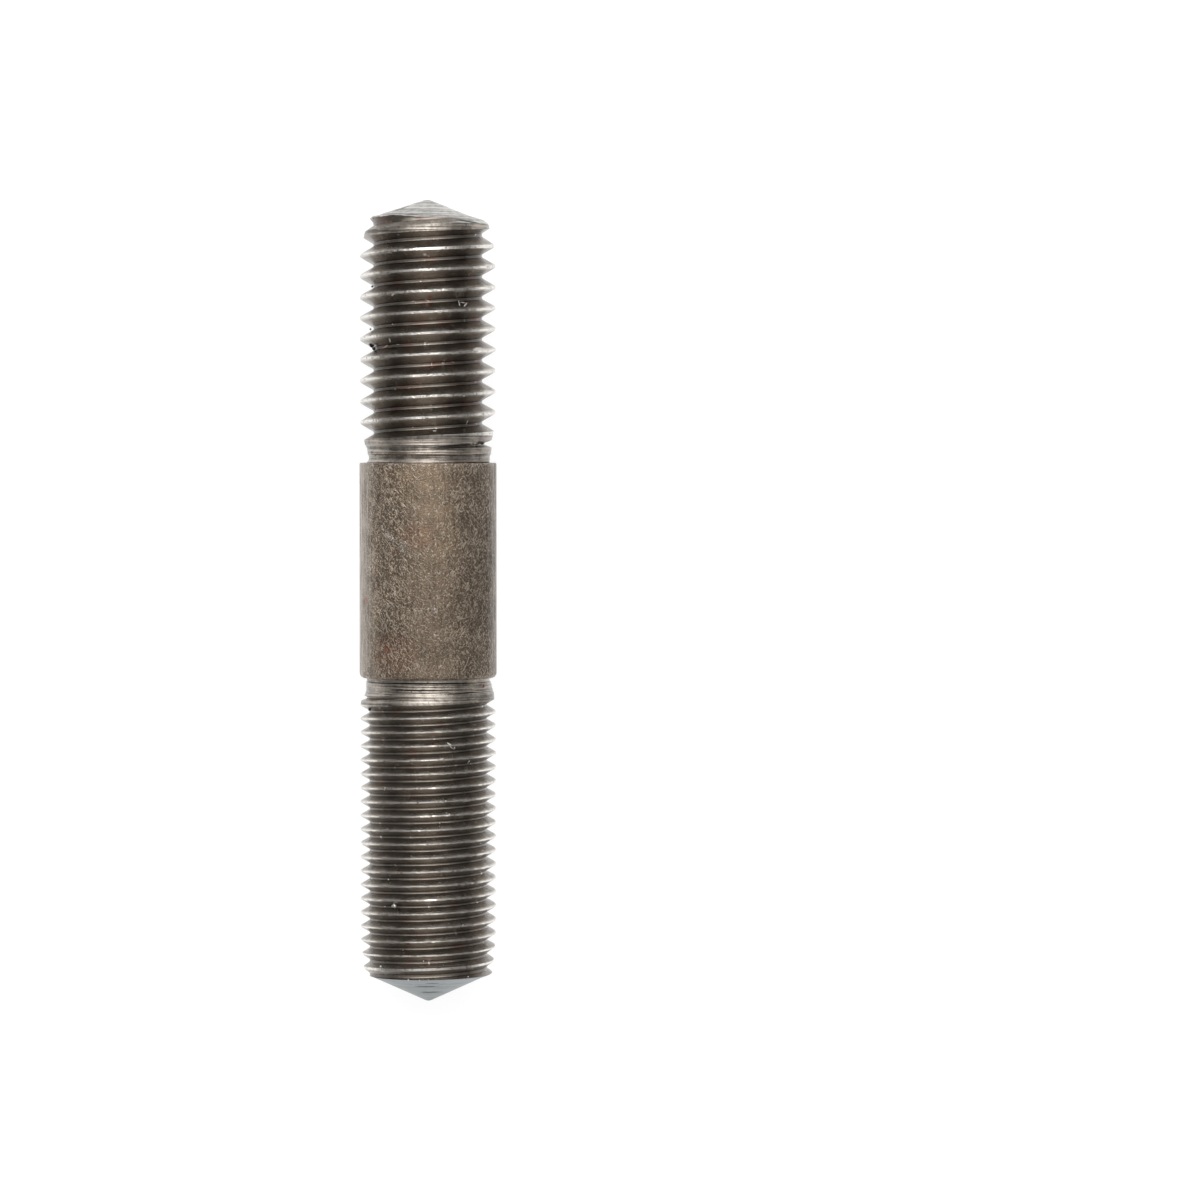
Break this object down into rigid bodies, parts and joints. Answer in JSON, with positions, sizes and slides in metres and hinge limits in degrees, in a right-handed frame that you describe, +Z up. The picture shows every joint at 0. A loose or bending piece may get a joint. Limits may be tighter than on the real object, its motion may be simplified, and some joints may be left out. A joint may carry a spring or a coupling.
{
  "type": "double ended stud",
  "caption": "Steel double ended stud with a coarse thread, a plain shank and a fine thread, pointed at both ends.",
  "frame": {"origin": "on the axis at the shoulder between the shank and the coarse thread", "axes": "+Y along the axis, towards the coarse end; the fine end points to -Y; +Z is up as the stud lies"},
  "size_m": [0.0098, 0.0578, 0.0098],
  "materials": {
    "rolled_steel": "oiled, dull brown-grey, with brighter worn crests and shoulders"
  },
  "bodies": {
    "root": {"stud": "rolled_steel"}
  },
  "joints": []
}
